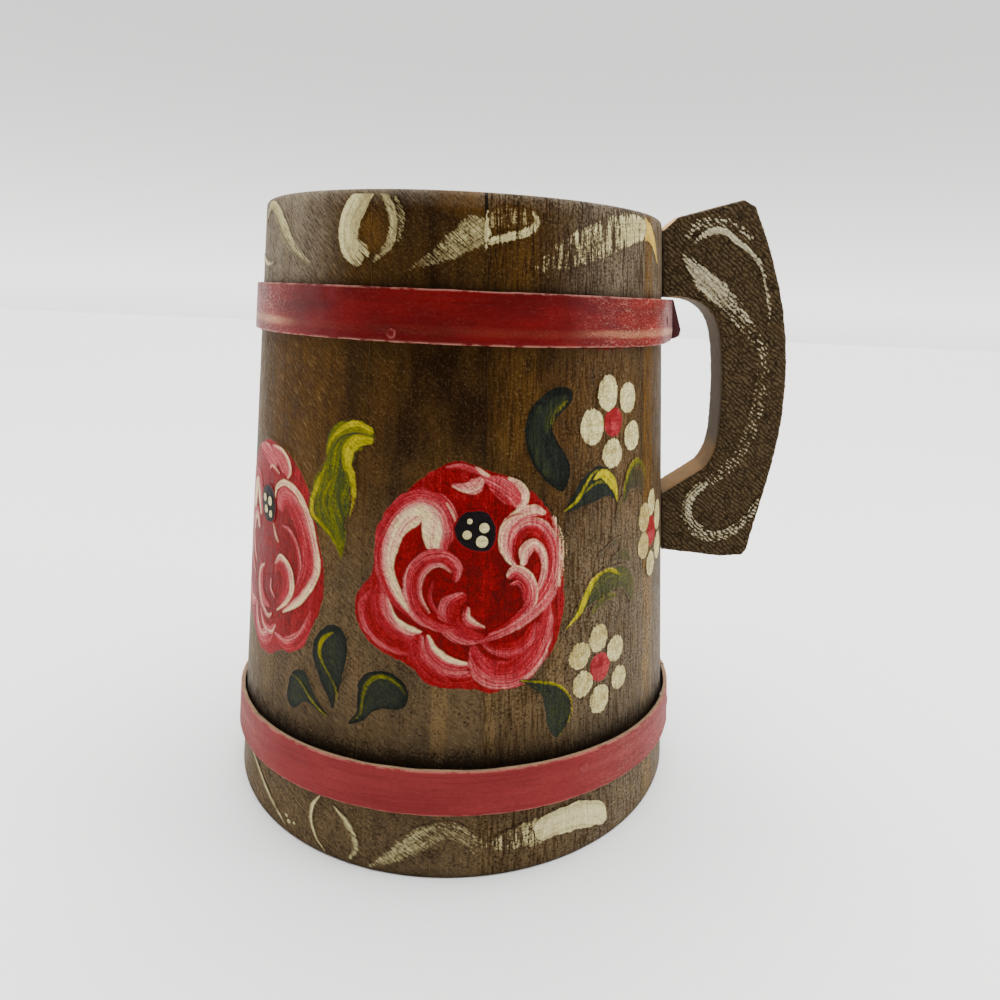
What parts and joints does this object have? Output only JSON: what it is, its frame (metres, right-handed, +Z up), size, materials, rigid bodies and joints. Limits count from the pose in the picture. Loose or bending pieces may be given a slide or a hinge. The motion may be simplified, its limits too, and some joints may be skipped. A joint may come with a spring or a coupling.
{
  "type": "wooden tankard",
  "caption": "Tapered wooden stave tankard with two painted strap hoops, a let-in bottom board and a sawn slab handle, for drinking or display.",
  "frame": {"origin": "middle of the footprint, on the surface the tankard stands on; the body's own axis is 13.9 mm towards -X from it, because the handle reaches out on +X", "axes": "+Z up, +X from the body's axis out along the handle, -Y the decorated side that faces the viewer"},
  "size_m": [0.1782, 0.1512, 0.1856],
  "materials": {
    "stained_wood": "dark brown stain under a thin satin varnish, fine scratches and amber streaks",
    "bare_wood": "bare pale softwood, lightly darkened",
    "sawn_dark_wood": "rough sawn face stained dark brown, saw marks left in, matt",
    "gloss_red_strap": "strap painted deep glossy red, cracked and rubbed along its lower edge",
    "worn_red_strap": "strap painted dull rose red with a raw tan cut edge",
    "painted_brad": "small steel brad painted over with the strap",
    "red_paint": "brushed red artist's paint, semi-gloss, with pink and white drawn through it",
    "cream_paint": "brushed cream paint, dry at the stroke ends",
    "green_paint": "dark green leaf paint with yellow-green strokes"
  },
  "bodies": {
    "root": {"stave_01": "stained_wood", "stave_02": "stained_wood", "stave_03": "stained_wood", "stave_04": "stained_wood", "stave_05": "stained_wood", "stave_06": "stained_wood", "stave_07": "stained_wood", "stave_08": "stained_wood", "stave_09": "stained_wood", "stave_10": "stained_wood", "stave_11": "stained_wood", "stave_12": "stained_wood", "bottom_board": "bare_wood", "upper_hoop": "gloss_red_strap", "upper_hoop_brad_1": "painted_brad", "upper_hoop_brad_2": "painted_brad", "upper_hoop_brad_3": "painted_brad", "upper_hoop_brad_4": "painted_brad", "lower_hoop": "worn_red_strap", "lower_hoop_brad_1": "painted_brad", "lower_hoop_brad_2": "painted_brad", "lower_hoop_brad_3": "painted_brad", "lower_hoop_brad_4": "painted_brad", "handle": "sawn_dark_wood", "handle_dowel_upper": "bare_wood", "handle_dowel_lower": "bare_wood"}
  },
  "joints": []
}
